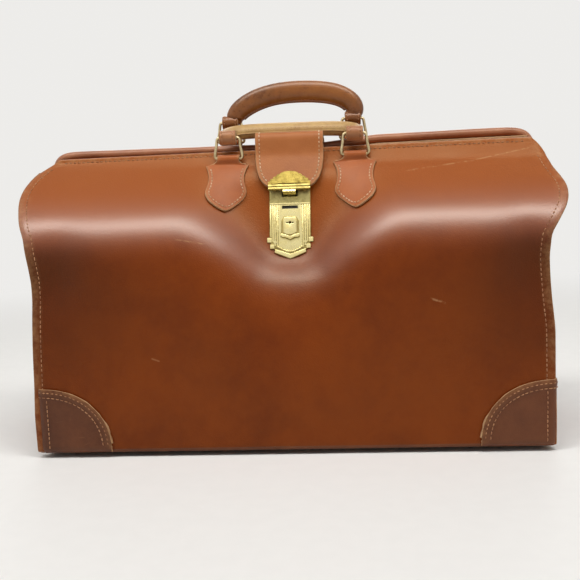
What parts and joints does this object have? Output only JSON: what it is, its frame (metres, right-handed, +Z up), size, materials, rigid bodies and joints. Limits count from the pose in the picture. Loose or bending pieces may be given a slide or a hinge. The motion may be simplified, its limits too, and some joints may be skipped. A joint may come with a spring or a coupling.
{
  "type": "gladstone bag",
  "caption": "Soft leather travel bag with a hinged frame mouth, a lock tab over the rims and two swinging handles on rings.",
  "frame": {"origin": "on the ground plane under the centre of the bag", "axes": "+Z up, +X along the bag to the right seen from the front, the front faces -Y"},
  "size_m": [0.507, 0.2126, 0.3496],
  "materials": {
    "bag_leather": "smooth polished leather",
    "base_leather": "matt scuffed leather",
    "patch_leather": "smooth polished leather",
    "chape_leather": "smooth polished leather",
    "rim_leather": "rolled leather",
    "loop_leather": "worn leather",
    "handle_leather": "glossy rolled leather",
    "worn_grip_leather": "worn bare leather",
    "lining_cloth": "woven cotton",
    "board": "pressed fibre board",
    "brass": "worn polished brass",
    "ring_brass": "dull brass wire",
    "frame_steel": "dark enamelled steel",
    "spring_steel": "spring steel"
  },
  "bodies": {
    "body": {"base_panel": "base_leather", "base_board": "board", "base_studs": "brass", "front_panel": "bag_leather", "rear_panel": "bag_leather", "left_gusset": "bag_leather", "right_gusset": "bag_leather", "left_gusset_fold": "bag_leather", "right_gusset_fold": "bag_leather", "lining": "lining_cloth", "front_left_patch": "patch_leather", "front_right_patch": "patch_leather", "rear_left_patch": "patch_leather", "rear_right_patch": "patch_leather", "hinge_pins": "frame_steel"},
    "front_jaw": {"front_frame": "frame_steel", "front_panel_top": "bag_leather", "lock_plate": "brass", "lock_case": "frame_steel", "lock_rivets": "brass", "lock_spring": "spring_steel", "front_left_chape": "chape_leather", "front_right_chape": "chape_leather"},
    "rear_jaw": {"rear_frame": "frame_steel", "rear_panel_top": "bag_leather", "rear_rim_roll": "rim_leather", "rear_left_chape": "chape_leather", "rear_right_chape": "chape_leather", "tab_strap": "chape_leather"},
    "tab": {"tab_flap": "chape_leather", "hasp_plate": "brass", "hasp_catch": "brass"},
    "lock_slide": {"lock_slider": "brass", "lock_bolt": "frame_steel"},
    "front_rings": {"front_left_ring": "ring_brass", "front_right_ring": "ring_brass"},
    "front_grip": {"front_handle": "worn_grip_leather", "front_handle_loops": "loop_leather"},
    "rear_rings": {"rear_left_ring": "ring_brass", "rear_right_ring": "ring_brass"},
    "rear_grip": {"rear_handle": "handle_leather", "rear_handle_loops": "loop_leather"}
  },
  "joints": [
    {"name": "front_mouth", "type": "hinge", "parent": "body", "child": "front_jaw", "pos_m": [0, 0, 0.19], "axis": [1, 0, 0], "range_deg": [0, 55], "deforming": ["left_gusset_fold", "right_gusset_fold", "tab_flap", "hasp_plate", "hasp_catch"]},
    {"name": "rear_mouth", "type": "hinge", "parent": "body", "child": "rear_jaw", "pos_m": [0, 0, 0.19], "axis": [-1, 0, 0], "range_deg": [0, 55], "deforming": ["left_gusset_fold", "right_gusset_fold", "tab_flap", "hasp_plate", "hasp_catch"]},
    {"name": "tab_lift", "type": "hinge", "parent": "rear_jaw", "child": "tab", "pos_m": [0, -0.022, 0.2874], "axis": [-1, 0, 0], "range_deg": [0, 120]},
    {"name": "lock_release", "type": "slide", "parent": "front_jaw", "child": "lock_slide", "axis": [0, -0.3407, -0.9402], "range_m": [0, 0.005], "stiffness_N_per_m": 300, "springref_m": -0.003, "deforming": ["lock_spring"]},
    {"name": "front_ring_tilt", "type": "hinge", "parent": "front_jaw", "child": "front_rings", "pos_m": [0, -0.027, 0.272], "axis": [1, 0, 0], "range_deg": [0, 45]},
    {"name": "front_handle_swing", "type": "hinge", "parent": "front_rings", "child": "front_grip", "pos_m": [0, -0.027, 0.292], "axis": [1, 0, 0], "range_deg": [0, 165]},
    {"name": "rear_ring_tilt", "type": "hinge", "parent": "rear_jaw", "child": "rear_rings", "pos_m": [0, 0.0225, 0.289], "axis": [-1, 0, 0], "range_deg": [0, 45]},
    {"name": "rear_handle_swing", "type": "hinge", "parent": "rear_rings", "child": "rear_grip", "pos_m": [0, 0.0225, 0.309], "axis": [-1, 0, 0], "range_deg": [-40, 100]}
  ]
}
